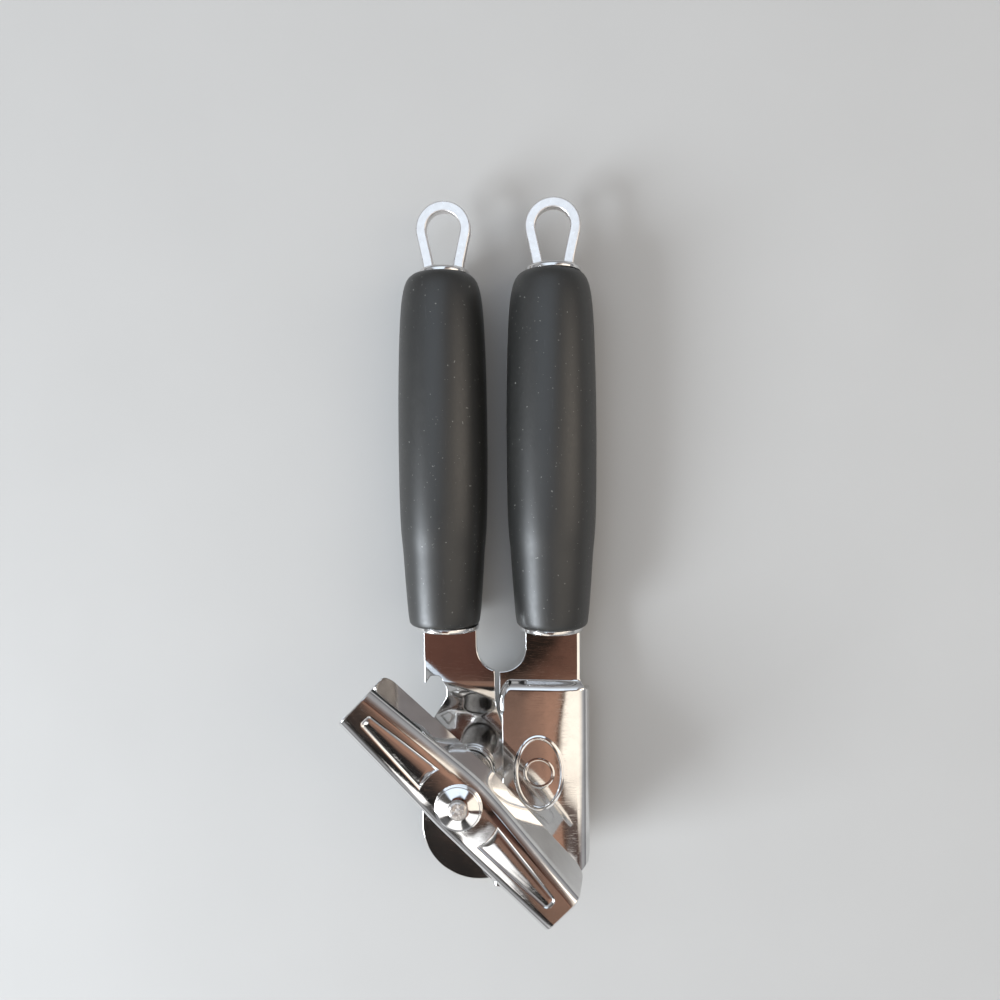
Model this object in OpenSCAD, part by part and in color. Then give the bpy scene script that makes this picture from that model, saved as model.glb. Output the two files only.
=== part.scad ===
// Manual can opener: two long handles, a pressed butterfly key, a bottle-opener
// hook on the left arm and a geared wheel pair behind the plates.
// Units are millimetres, +Z is up (key side), +Y runs along the handles to the hanging loops.
// The drawing frame has its zero at the front face of the two necks; the last
// lines move it so that the origin is the bottom centre of the overall box.

/* [Plates] */
// thickness of the two pressed arms
plate_t = 1.6; // [1.2:0.1:2.4]
// width of each neck between ferrule and head
neck_w = 16.4; // [14:0.1:19]
// how far the front panel is raised above the neck
panel_rise = 2.4; // [1.8:0.1:4]
// how far the rear plate drops behind the neck
rear_drop = 1.6; // [1:0.1:3]
// right edge of the front panel
panel_right = 26.8; // [24:0.1:30]
// left edge of the front panel
panel_left = 0.3; // [-1:0.1:3]
// outside radius of the rolled side flange
flange_r = 4.4; // [3:0.1:6]
// depth of the side flange below the panel front
flange_depth = 7.6; // [5:0.1:10]
// radius of the rear plate's round end
disc_r = 17.0; // [14:0.1:20]
// radius of the notch between the two necks
crotch_r = 7.1; // [5:0.1:9]

/* [Handles] */
// distance of the left grip axis from the middle
grip_x_l = 17.3; // [15:0.1:20]
// distance of the right grip axis from the middle
grip_x_r = 15.4; // [14:0.1:20]
// largest radius of the grip
grip_r = 13.45; // [11:0.05:15]
// length of the grip
grip_len = 105.0; // [90:0.1:125]
// radius of the bright ring at the neck end
ferrule_r = 9.5; // [8:0.1:11]
// thickness of the bright ring
ferrule_t = 1.6; // [1.2:0.1:4]
// radius of the left end cap
cap_r_l = 7.6; // [6:0.1:10]
// radius of the right end cap
cap_r_r = 8.4; // [6:0.1:10]
// thickness of the end cap
cap_t = 2.6; // [1.5:0.1:3.5]

/* [Hanging loops] */
// outside radius of the loop's round end
loop_r = 8.2; // [6:0.1:11]
// width of the loop's bar
loop_w = 3.0; // [1.8:0.1:3.5]
// depth of the loop's bar
loop_d = 3.0; // [2:0.1:4]
// outside half-width where the legs enter the cap
loop_base = 6.0; // [4.5:0.1:7]
// distance from the cap to the centre of the round end
loop_h = 10.6; // [8:0.1:14]

/* [Key] */
// distance from the hub to the end of a wing
key_half = 39.6; // [34:0.1:45]
// half-width of the key at its ends
key_end_w = 7.0; // [4:0.1:9]
// half-width of the key at the hub
key_mid_w = 9.3; // [6:0.1:11]
// thickness of the key's sheet
key_t = 1.4; // [1:0.1:2]
// height of the key's face at the hub above the necks
key_z = 24.9; // [20:0.1:30]
// how far the key's wings rise from the hub to the tips
key_rise = 3.2; // [0:0.1:5]
// depth of the key's side flanges at the hub
key_flange = 10.6; // [7:0.1:14]
// outward lean of the key's flanges, degrees
key_flare = 9; // [0:0.5:20]
// angle of the key at rest
key_angle = -44.3; // [-90:0.1:90]
// depth of the pressed panels in the key
key_press = 0.6; // [0.4:0.1:1.2]

/* [Drive and wheels] */
// radius of the drive shaft in its bushing
shaft_r = 4.0; // [3:0.1:5]
// radial running clearance of shafts and rivet
run_c = 0.05; // [0.02:0.01:0.1]
// radius of the bushing's flange
boss_r = 7.7; // [6:0.1:9]
// radius of the toothed feed wheel
feed_r = 9.7; // [8:0.1:11]
// number of feed wheel serrations
feed_teeth = 34; // [24:1:48]
// radius of the cutting disc
cutter_r = 12.4; // [11:0.1:14]
// teeth on each spur gear
gear_teeth = 15; // [12:1:20]
// radius of the cutter's stud
stud_r = 3.0; // [2.5:0.1:4]
// radius of the pivot rivet's head
rivet_head_r = 6.6; // [5:0.1:7]

/* [Hidden] */
$fn = 64;
z_axis = -plate_t / 2;          // handle axis, mid-plane of the necks
z_floor = z_axis - grip_r;      // what the opener lies on
z_panel = panel_rise;           // front of the raised panel
z_panel_b = panel_rise - plate_t;
z_rear = -rear_drop;            // front of the rear plate
z_rear_b = -rear_drop - plate_t;
y_grip0 = -46.8;                // neck end of the grips
y_neck = y_grip0 - 0.9;         // where the tangs step out to the neck width
y_grip1 = y_grip0 + grip_len;
neck_l = -15.7;                 // middle of the left neck
neck_r = 15.5;                  // middle of the right neck
cap_x_l = -16.6;
cap_x_r = 16.1;
shaft = [-9.9, -92.2];          // drive shaft
cutter = [11.3, -91.2];         // cutter stud
pivot = [-2.0, -110.8];         // rivet joining the arms
key_pitch = atan2(key_rise, key_half);
gear_d = norm(cutter - shaft);
gear_a = atan2(cutter[1] - shaft[1], cutter[0] - shaft[0]);
gear_p = gear_d / 2;
z_gear = z_rear_b - 0.4;        // front of the gears
gear_h = 2.4;
z_feed = z_gear - gear_h - 0.5; // front of the feed wheel
feed_h = 2.8;
z_disc = z_feed - feed_h - 0.5; // front of the cutting disc
// the origin of the finished part, in this drawing frame
org = [-7.5495, -23.3465, z_floor];

function smooth(t) = (1 - cos(180 * t)) / 2;
function steps(n) = [for (i = [0 : n]) i / n];
function arc(c, r, a0, a1, n) = [for (t = steps(n)) c + r * [cos(a0 + (a1 - a0) * t), sin(a0 + (a1 - a0) * t)]];
// points of a toothed outline: each tooth is a list of [radius, angle] pairs
function toothed(n, tooth) = [for (k = [0 : n - 1], p = tooth) p[0] * [cos(360 / n * k + p[1]), sin(360 / n * k + p[1])]];
spur = [[gear_p - 1.42, -8.0], [gear_p - 0.75, -6.6], [gear_p, -5.1], [gear_p + 0.6, -3.9], [gear_p + 1.05, -2.5],
        [gear_p + 1.05, 2.5], [gear_p + 0.6, 3.9], [gear_p, 5.1], [gear_p - 0.75, 6.6], [gear_p - 1.42, 8.0]];

// puts the origin at the bottom centre of the overall box
module place() { translate([-org[0], -org[1], -org[2]]) children(); }

// a sheet that follows a bend line in y, cut to an outline
module bent_sheet(y0, y1, z0, z1, lo, hi) {
    front = concat([[hi, z0]], [for (t = steps(12)) [y0 + (y1 - y0) * t, z0 + (z1 - z0) * smooth(t)]], [[lo, z1]]);
    back = [for (i = [len(front) - 1 : -1 : 0]) [front[i][0], front[i][1] - plate_t]];
    intersection() {
        translate([-60, 0, 0]) rotate([90, 0, 90]) linear_extrude(120) polygon(concat(front, back));
        translate([0, 0, -20]) linear_extrude(40) children();
    }
}

// ---- right arm (in front) ----

module front_outline() {
    nl = neck_r - neck_w / 2;
    nr = neck_r + neck_w / 2;
    c1 = [panel_right - 7.4, -115.3];
    c2 = [0.2, -119.4];
    slope = atan2(c1[1] - c2[1], c1[0] - c2[0]) - 90;
    polygon(concat([[neck_r - 6, 44], [neck_r + 6, 44], [neck_r + 6, y_neck], [nr, y_neck], [nr, -63.3], [25.4, -65.4], [panel_right - 0.9, -65.6], [panel_right, -66.6]],
        arc(c1, 7.4, 0, slope, 12), arc(c2, 7.5, slope, -180, 14),
        [[-7.3, -108.5], [-7.0, -106.3], [-6.1, -104.3], [-1.1, -98.8], [-0.1, -97.2], [panel_left, -95], [panel_left, -69.4], [0.7, -68.1], [1.5, -67.0], [2.5, -66.1], [3.8, -65.6],
         [3.8, -62.5], [-0.7, -62.5]], arc([-0.3, -54], crotch_r, 266.8, 360, 12), [[nl, -53], [nl, y_neck], [neck_r - 6, y_neck]]));
}

module rolled_edge() {
    // quarter-round bend and a straight flange down the right side
    x0 = panel_right - flange_r;
    intersection() {
        translate([0, -66.2, 0]) rotate([90, 0, 0]) linear_extrude(60) union() {
            difference() {
                intersection() {
                    translate([x0, z_panel - flange_r]) circle(flange_r);
                    translate([x0, z_panel - flange_r]) square(flange_r + 1);
                }
                translate([x0, z_panel - flange_r]) circle(flange_r - plate_t);
            }
            translate([panel_right - plate_t, z_panel - flange_depth]) square([plate_t, flange_depth - flange_r]);
        }
        translate([0, 0, -20]) linear_extrude(40) front_outline();
    }
}

module oval_ring(a, b, w, h) {
    n = 72;
    linear_extrude(h) difference() {
        polygon([for (i = [0 : n - 1]) [a * cos(360 * i / n), b * sin(360 * i / n)]]);
        polygon([for (i = [0 : n - 1]) [(a - w) * cos(360 * i / n), (b - w) * sin(360 * i / n)]]);
    }
}

module cutter_plate() {
    place() color("silver") difference() {
        union() {
            difference() {
                bent_sheet(-62.7, -66.2, 0, z_panel, -140, 60) front_outline();
                translate([panel_right - flange_r, -140, -20]) cube([20, 73.8, 40]);
            }
            rolled_edge();
            // strip of the base sheet left standing beside the raised panel
            translate([0, 0, -plate_t]) linear_extrude(plate_t) difference() {
                polygon([[-0.7, -58], [8, -58], [8, -63], [3.9, -63], [3.0, -67.2], [1.9, -69.6], [1.9, -73.2], [1.2, -73.7], [-0.2, -73.7], [-0.7, -73.2]]);
                translate([-0.3, -54]) circle(crotch_r);
            }
            translate([0, 0, -plate_t]) linear_extrude(plate_t + z_panel) polygon([[panel_left, -73.7], [panel_left, -69.4], [1.3, -67.1], [3.4, -65.85],
                    [4.4, -66.6], [2.6, -68.0], [1.9, -69.6], [1.9, -73.7]]);
            translate([cutter[0], cutter[1], z_panel - 0.2]) oval_ring(7.5, 11.4, 1.2, 0.55);
            translate([cutter[0] + 0.1, cutter[1], z_panel - 0.2]) linear_extrude(0.45) difference() { circle(4.5); circle(3.9); }
        }
        translate([pivot[0], pivot[1], -5]) cylinder(r = 3.0, h = 10);
    }
}

// ---- left arm (behind) ----

module rear_outline() {
    nl = neck_l - neck_w / 2;
    nr = neck_l + neck_w / 2;
    polygon(concat([[neck_l - 6, 44.4], [neck_l + 6, 44.4], [neck_l + 6, y_neck], [nr, y_neck], [nr, -53.5]], arc([-0.3, -54], crotch_r, 180, 257, 10),
        [[-1.9, -70.5], [-1.4, -73.5], [-0.4, -76.5], [1.2, -80], [2.6, -85], [3.2, -90], [3.8, -94.5], [4.7, -98]],
        arc([-8.2, -109.8], disc_r, 34, -180, 40),
        // bottle-opener hook
        [[-25.2, -83.2], [-24.9, -82.4], [-17.75, -70.4], [-17.15, -69.2], [-17.05, -68], [-17.1, -66.6], [-17.5, -65.4], [-18.6, -63.6], [-19.1, -63.1], [-19.7, -62.95],
         [-21.2, -62.95], [-21.8, -63.1], [-22.2, -63.5], [-23.2, -65.0], [-23.5, -65.2], [-23.75, -64.9], [nl, y_neck], [neck_l - 6, y_neck]]));
}

module feed_plate() {
    place() color("silver") difference() {
        bent_sheet(-64.2, -75.6, 0, z_rear, -140, 60) rear_outline();
        translate([shaft[0], shaft[1], -8]) cylinder(r = 5.57, h = 12);
        translate([pivot[0], pivot[1], -8]) cylinder(r = 3.0 + run_c, h = 12);
    }
}

module shaft_bushing() {
    place() color("silver") translate([shaft[0], shaft[1], 0]) difference() {
        union() {
            translate([0, 0, z_rear]) cylinder(r = boss_r, h = 1.6);
            translate([0, 0, z_rear + 1.6]) cylinder(r1 = boss_r, r2 = boss_r - 0.5, h = 0.5);
            translate([0, 0, z_rear_b]) cylinder(r = 5.55, h = plate_t);
        }
        translate([0, 0, -10]) cylinder(r = shaft_r + run_c, h = 20);
    }
}

// ---- handles ----

// radius of the grip against the distance from its neck end
grip_profile = [[0, 9.7], [0.25, 10.2], [0.8, 10.6], [2, 10.85], [4.7, 11.15], [8.7, 11.5], [12.7, 11.8], [16.7, 12.05], [19.7, 12.25], [22.7, 12.45],
                [25.7, 12.75], [28.7, 13.0], [31.7, 13.15], [36.7, 13.3], [43.7, 13.4], [50.7, 13.44], [56.7, 13.45], [62.7, 13.42], [70.7, 13.33], [78.7, 13.15],
                [85.7, 12.92], [90.5, 12.7], [94.5, 12.42], [97.5, 12.1], [99.8, 11.7], [101.6, 11.25], [102.9, 10.75], [103.9, 10.1], [104.6, 9.3], [104.9, 8.8], [105, 8.4]];

module grip(x, cap_x, neck_x) {
    difference() {
        translate([x, y_grip0, z_axis]) rotate([-90, 0, 0]) rotate_extrude($fn = 96)
            polygon(concat([[0, 0]], [for (p = grip_profile) [p[1] * grip_r / 13.45, p[0] * grip_len / 105]], [[0, grip_len]]));
        // pocket for the tang of the plate
        translate([neck_x - 6.05, y_grip0 - 1, z_axis - plate_t / 2 - 0.05]) cube([12.1, 44.5 - y_grip0 + 1, plate_t + 0.1]);
        // pockets for the legs of the loop
        for (s = [-1, 1]) translate([cap_x + s * (loop_base - loop_w / 2) - loop_w / 2 - 0.05, y_grip1 - 7.2, z_axis - loop_d / 2 - 0.05])
            cube([loop_w + 0.1, 12, loop_d + 0.1]);
    }
}
module cutter_grip() place() color("dimgray") grip(grip_x_r, cap_x_r, neck_r);
module feed_grip() place() color("dimgray") grip(-grip_x_l, cap_x_l, neck_l);

module ferrule(x, neck_x) {
    difference() {
        translate([x, y_grip0, z_axis]) rotate([90, 0, 0]) rotate_extrude($fn = 96)
            polygon([[0, 0], [ferrule_r - 0.2, 0], [ferrule_r, 0.25], [ferrule_r, ferrule_t - 0.6], [ferrule_r - 0.2, ferrule_t - 0.2], [ferrule_r - 0.7, ferrule_t], [0, ferrule_t]]);
        translate([neck_x - 6.05, y_neck + 0.02, z_axis - plate_t / 2 - 0.03]) cube([12.1, 5, plate_t + 0.06]);
        translate([neck_x - neck_w / 2 - 0.05, y_neck - 5, z_axis - plate_t / 2 - 0.03]) cube([neck_w + 0.1, 5.03, plate_t + 0.06]);
    }
}
module cutter_ferrule() place() color("silver") ferrule(neck_r - 0.2, neck_r);
module feed_ferrule() place() color("silver") ferrule(neck_l - 0.6, neck_l);

module end_cap(x, r) {
    difference() {
        translate([x, y_grip1, z_axis]) rotate([-90, 0, 0]) rotate_extrude($fn = 96)
            polygon([[0, 0], [r - 0.15, 0], [r, 0.15], [r, 1.0], [r - 0.25, 1.35], [r - 0.8, 1.75], [r - 1.8, 2.1], [r - 3.2, 2.4], [r - 5, cap_t], [0, cap_t]]);
        for (s = [-1, 1]) translate([x + s * (loop_base - loop_w / 2) - loop_w / 2 - 0.03, y_grip1 - 4, z_axis - loop_d / 2 - 0.03])
            cube([loop_w + 0.06, 12, loop_d + 0.06]);
    }
}
module cutter_cap() place() color("silver") end_cap(cap_x_r, cap_r_r);
module feed_cap() place() color("silver") end_cap(cap_x_l, cap_r_l);

// points where the straight legs touch the round end of the loop
function touch(r, b) = let (d = norm([b, loop_h]), a = atan2(-loop_h, b) + acos(r / d)) [r * cos(a), r * sin(a)];
module drop(r, b, foot) {
    t = touch(r, b);
    a = atan2(t[1], t[0]);
    polygon(concat([[b, -loop_h - foot], [b, -loop_h]], arc([0, 0], r, a, 180 - a, 48), [[-b, -loop_h], [-b, -loop_h - foot]]));
}
module hang_loop(x) {
    translate([x, y_grip1 + cap_t + 0.6 + loop_h, z_axis - loop_d / 2]) linear_extrude(loop_d) difference() {
        drop(loop_r, loop_base, 10.3);
        drop(loop_r - loop_w, loop_base - loop_w, 13);
    }
}
module cutter_loop() place() color("silver") hang_loop(cap_x_r);
module feed_loop() place() color("silver") hang_loop(cap_x_l);

// ---- pivot ----

module pivot_rivet() {
    place() color("silver") translate([pivot[0], pivot[1], 0]) union() {
        translate([0, 0, z_rear_b - 0.3]) cylinder(r = 3.0, h = z_panel - z_rear_b + 0.3);
        translate([0, 0, z_panel]) rotate_extrude() polygon([[0, 0], [rivet_head_r, 0], [rivet_head_r, 0.7], [rivet_head_r - 0.5, 1.2], [rivet_head_r - 2, 1.6], [0, 1.9]]);
        translate([0, 0, z_rear_b - 2.5]) rotate_extrude() polygon([[0, 0], [3.2, 0], [4.6, 0.4], [5.5, 1.1], [5.5, 2.2], [0, 2.2]]);
    }
}
module pivot_washer() {
    place() color("silver") translate([pivot[0], pivot[1], z_rear + 0.3]) difference() {
        cylinder(r = 6.5, h = z_panel_b - z_rear - 0.3);
        translate([0, 0, -1]) cylinder(r = 3.02, h = 9);
    }
}

// ---- drive ----

// cross-section of one side of the key: flat face, rounded bend and leaning flange; in is the sheet's inner face
module key_side(in) {
    r = 3.2;
    translate([0, key_mid_w, 0]) rotate([0, 0, atan2(key_end_w - key_mid_w, key_half)]) rotate([90, 0, 90]) translate([0, 0, -60]) linear_extrude(120)
        polygon(concat([[-60, -in], [-r, -in]], [for (t = steps(7)) let (a = 90 - (90 - key_flare) * t) [-r + (r - in) * cos(a), -r + (r - in) * sin(a)]],
            [[-r + (r - in) * cos(key_flare) + 16 * sin(key_flare), -r + (r - in) * sin(key_flare) - 16 * cos(key_flare)], [-60, -18.8]]));
}

// one wing of the key, pitched up from the hub, solid down from the sheet's face
module key_wing(in) {
    intersection() {
        translate([0, 0, key_z]) rotate([0, -key_pitch, 0]) intersection() {
            key_side(in);
            mirror([0, 1, 0]) key_side(in);
        }
        translate([0, -30, 0]) cube([60, 60, 60]);
    }
}

// outline of a wing seen from its side, with a rounded lower corner
module key_profile() {
    low = key_z - key_flange;
    rotate([90, 0, 0]) translate([0, 0, -30]) linear_extrude(60)
        polygon(concat([[-5, low], [key_half - 4, low]], [for (t = steps(8)) [key_half - 4 + 4 * sin(90 * t), low + 4 - 4 * cos(90 * t)]], [[key_half, low + 20], [-5, low + 20]]));
}

module pressed_panel(grow) {
    // trapezoid that widens towards the hub and ends in an arc round it
    difference() {
        polygon([[9, -(3.95 + grow)], [35.2 + grow, -(1.65 + grow)], [35.2 + grow, 1.65 + grow], [9, 3.95 + grow]]);
        circle(12 - grow);
    }
}

module key_arm() {
    difference() {
        union() {
            intersection() {
                difference() {
                    key_wing(0);
                    key_wing(key_t);
                }
                key_profile();
            }
            translate([0, 0, key_z]) rotate([0, -key_pitch, 0]) translate([0, 0, -key_t - key_press]) linear_extrude(key_press + 0.2) pressed_panel(0.6);
        }
        translate([0, 0, key_z]) rotate([0, -key_pitch, 0]) translate([0, 0, -key_press]) linear_extrude(3) pressed_panel(0);
    }
}

module crank_key() {
    place() color("silver") translate([shaft[0], shaft[1], 0]) rotate([0, 0, key_angle]) difference() {
        union() {
            key_arm();
            rotate([0, 0, 180]) key_arm();
            translate([0, 0, key_z - key_t]) cylinder(r = 6.0, h = key_t);
            translate([0, 0, key_z - 0.8]) cylinder(r = 7.0, h = 0.8);
            translate([0, 0, key_z]) cylinder(r1 = 7.0, r2 = 6.5, h = 0.6);
        }
        translate([0, 0, key_z - 5]) cylinder(r = 2.22, h = 10);
    }
}

module crank_washer() {
    place() color("silver") translate([shaft[0], shaft[1], key_z + 0.6]) rotate_extrude()
        polygon([[2.22, 0], [6.0, 0], [6.0, 0.35], [5.5, 0.7], [4.4, 0.95], [3.2, 1.05], [2.22, 1.05]]);
}

module drive_shaft() {
    place() color("silver") translate([shaft[0], shaft[1], 0]) union() {
        translate([0, 0, z_gear + 0.0]) cylinder(r = shaft_r, h = 1.1 - z_gear);
        translate([0, 0, 1.1]) cylinder(r = shaft_r, h = 1.0);
        translate([0, 0, 1.7]) cylinder(r = 5.6, h = key_z - key_t - 1.7);
        translate([0, 0, 20]) cylinder(r = 2.2, h = key_z + 1.7 - 20);
        translate([0, 0, key_z + 1.65]) rotate_extrude() polygon([[0, 0], [2.8, 0], [2.75, 0.4], [2.4, 0.75], [1.5, 0.95], [0, 0.9]]);
        translate([0, 0, z_floor + 0.3]) cylinder(r = 2.6, h = z_gear - z_floor);
        translate([0, 0, z_floor]) cylinder(r1 = 2.3, r2 = 2.6, h = 0.3);
    }
}

module wave_washer() {
    place() color("silver") translate([shaft[0], shaft[1], 1.2]) difference() {
        cylinder(r = 6.8, h = 0.5);
        translate([0, 0, -1]) cylinder(r = shaft_r + 0.02, h = 4);
    }
}

module drive_gear() {
    place() color("silver") translate([shaft[0], shaft[1], z_gear - gear_h]) difference() {
        rotate([0, 0, gear_a]) linear_extrude(gear_h) polygon(toothed(gear_teeth, spur));
        translate([0, 0, -1]) cylinder(r = 2.62, h = 9);
    }
}

module feed_wheel() {
    p = 360 / feed_teeth;
    place() color("silver") translate([shaft[0], shaft[1], 0]) difference() {
        union() {
            translate([0, 0, z_feed - feed_h]) linear_extrude(feed_h) polygon(toothed(feed_teeth, [[feed_r - 0.8, -p / 2], [feed_r, -p / 9], [feed_r, p / 9]]));
            translate([0, 0, z_feed - 0.1]) cylinder(r = 6.2, h = 0.6);
        }
        translate([0, 0, z_feed - feed_h - 1]) cylinder(r = 2.62, h = 9);
    }
}

module feed_nut() {
    place() color("silver") translate([shaft[0], shaft[1], z_feed - feed_h - 3.2]) difference() {
        intersection() {
            cylinder(r = 5.2, h = 3.2, $fn = 6);
            union() {
                translate([0, 0, 0.5]) cylinder(r = 5.3, h = 3);
                cylinder(r1 = 4.5, r2 = 5.3, h = 0.5);
            }
        }
        translate([0, 0, -1]) cylinder(r = 2.62, h = 9);
    }
}

// ---- cutter ----

module cutter_stud() {
    place() color("silver") translate([cutter[0], cutter[1], 0]) union() {
        translate([0, 0, z_floor + 2.0]) cylinder(r = stud_r, h = z_panel_b - z_floor - 2.0);
        translate([0, 0, z_gear + 0.4]) cylinder(r = 5.0, h = z_panel_b - z_gear - 0.4);
        translate([0, 0, z_floor + 0.4]) cylinder(r = 4.6, h = 1.6);
        translate([0, 0, z_floor]) cylinder(r1 = 4.2, r2 = 4.6, h = 0.4);
    }
}

module cutter_washer() {
    place() color("silver") translate([cutter[0], cutter[1], z_floor + 2.0]) difference() {
        cylinder(r = 5.4, h = 0.5);
        translate([0, 0, -1]) cylinder(r = stud_r + 0.02, h = 4);
    }
}

module cutter_gear() {
    place() color("silver") translate([cutter[0], cutter[1], z_gear - gear_h]) difference() {
        rotate([0, 0, gear_a + 180 + 180 / gear_teeth]) linear_extrude(gear_h) polygon(toothed(gear_teeth, spur));
        translate([0, 0, -1]) cylinder(r = stud_r + run_c, h = 9);
    }
}

module cutter_wheel() {
    h = z_gear - gear_h - z_disc;
    place() color("silver") translate([cutter[0], cutter[1], z_disc]) rotate_extrude($fn = 128)
        polygon([[stud_r + run_c, h], [6.4, h], [6.4, 1.4], [7.2, 0.3], [8.0, 0], [cutter_r - 0.1, 0], [cutter_r, -0.12], [cutter_r - 0.1, -0.22], [9.6, -1.2], [8.4, -1.4], [stud_r + run_c, -1.4]]);
}

cutter_plate();
cutter_grip();
cutter_ferrule();
cutter_cap();
cutter_loop();
cutter_stud();
cutter_washer();
pivot_rivet();
pivot_washer();
feed_plate();
feed_grip();
feed_ferrule();
feed_cap();
feed_loop();
shaft_bushing();
crank_key();
crank_washer();
drive_shaft();
wave_washer();
drive_gear();
feed_wheel();
feed_nut();
cutter_gear();
cutter_wheel();
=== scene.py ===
import bpy, bmesh, math
from mathutils import Vector, Matrix, noise
from mathutils.geometry import delaunay_2d_cdt

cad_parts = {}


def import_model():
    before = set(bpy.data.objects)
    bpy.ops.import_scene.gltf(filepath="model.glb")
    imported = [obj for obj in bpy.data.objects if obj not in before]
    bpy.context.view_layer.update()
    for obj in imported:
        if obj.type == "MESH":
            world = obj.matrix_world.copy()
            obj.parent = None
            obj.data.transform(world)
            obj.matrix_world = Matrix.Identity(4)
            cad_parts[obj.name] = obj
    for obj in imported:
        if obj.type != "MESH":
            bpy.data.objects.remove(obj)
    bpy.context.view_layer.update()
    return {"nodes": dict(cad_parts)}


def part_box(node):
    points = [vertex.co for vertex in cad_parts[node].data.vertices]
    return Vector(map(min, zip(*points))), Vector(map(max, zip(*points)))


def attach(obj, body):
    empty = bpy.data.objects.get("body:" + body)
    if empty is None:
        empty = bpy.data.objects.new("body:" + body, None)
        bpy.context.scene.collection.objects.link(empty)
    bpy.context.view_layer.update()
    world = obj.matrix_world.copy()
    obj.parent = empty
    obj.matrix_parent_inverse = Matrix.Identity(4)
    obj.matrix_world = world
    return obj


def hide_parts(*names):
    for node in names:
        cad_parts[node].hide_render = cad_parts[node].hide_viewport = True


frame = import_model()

# ------------------------------------------------------------------ frame
# Drawing units are millimetres with zero at the front face of the two necks;
# the drive shaft's box gives the offset to the shared frame.
SHAFT = (-9.9, -92.2)
CUTTER = (11.3, -91.2)
PIVOT = (-2.0, -110.8)
Z_AXIS = -0.8
_lo, _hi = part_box("drive_shaft")
OX = (_lo[0] + _hi[0]) / 2 - SHAFT[0] / 1000
OY = (_lo[1] + _hi[1]) / 2 - SHAFT[1] / 1000
OZ = 0.01425


def P(x, y, z):
    return Vector((x / 1000 + OX, y / 1000 + OY, z / 1000 + OZ))


def smooth01(t):
    t = min(1.0, max(0.0, t))
    return t * t * (3 - 2 * t)


def cosblend(t):
    t = min(1.0, max(0.0, t))
    return (1 - math.cos(math.pi * t)) / 2


# --------------------------------------------------------------- materials
def new_mat(name):
    m = bpy.data.materials.new(name)
    m.use_nodes = True
    nt = m.node_tree
    for n in list(nt.nodes):
        nt.nodes.remove(n)
    out = nt.nodes.new("ShaderNodeOutputMaterial")
    b = nt.nodes.new("ShaderNodeBsdfPrincipled")
    nt.links.new(b.outputs[0], out.inputs[0])
    tc = nt.nodes.new("ShaderNodeTexCoord")
    mp = nt.nodes.new("ShaderNodeMapping")
    mp.inputs["Scale"].default_value = (1000, 1000, 1000)
    nt.links.new(tc.outputs["Object"], mp.inputs["Vector"])
    return m, nt, b, mp


def tex_noise(nt, vec, scale, detail=3.0, rough=0.55, distort=0.0):
    n = nt.nodes.new("ShaderNodeTexNoise")
    n.inputs["Scale"].default_value = scale
    n.inputs["Detail"].default_value = detail
    n.inputs["Roughness"].default_value = rough
    n.inputs["Distortion"].default_value = distort
    nt.links.new(vec, n.inputs["Vector"])
    return n.outputs["Fac"]


def remap(nt, value, a, b, c, d):
    n = nt.nodes.new("ShaderNodeMapRange")
    n.inputs["From Min"].default_value = a
    n.inputs["From Max"].default_value = b
    n.inputs["To Min"].default_value = c
    n.inputs["To Max"].default_value = d
    nt.links.new(value, n.inputs["Value"])
    return n.outputs["Result"]


def op(nt, kind, a, b):
    n = nt.nodes.new("ShaderNodeMath")
    n.operation = kind
    for i, v in enumerate((a, b)):
        if isinstance(v, (int, float)):
            n.inputs[i].default_value = v
        else:
            nt.links.new(v, n.inputs[i])
    return n.outputs[0]


def mix_col(nt, fac, a, b):
    n = nt.nodes.new("ShaderNodeMix")
    n.data_type = "RGBA"
    if isinstance(fac, float):
        n.inputs["Factor"].default_value = fac
    else:
        nt.links.new(fac, n.inputs["Factor"])
    for key, v in (("A", a), ("B", b)):
        sock = [s for s in n.inputs if s.name == key and s.type == "RGBA"][0]
        if isinstance(v, tuple):
            sock.default_value = (*v, 1)
        else:
            nt.links.new(v, sock)
    return [s for s in n.outputs if s.type == "RGBA"][0]


def stretched(nt, mp, angle, sx, sy):
    m = nt.nodes.new("ShaderNodeMapping")
    m.inputs["Rotation"].default_value = (0, 0, math.radians(angle))
    m.inputs["Scale"].default_value = (sx, sy, 1)
    nt.links.new(mp.outputs[0], m.inputs["Vector"])
    return m.outputs[0]


def bump(nt, bsdf, height, strength, dist, prev=None):
    n = nt.nodes.new("ShaderNodeBump")
    n.inputs["Strength"].default_value = strength
    n.inputs["Distance"].default_value = dist
    nt.links.new(height, n.inputs["Height"])
    if prev is not None:
        nt.links.new(prev, n.inputs["Normal"])
    nt.links.new(n.outputs[0], bsdf.inputs["Normal"])
    return n.outputs[0]


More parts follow.
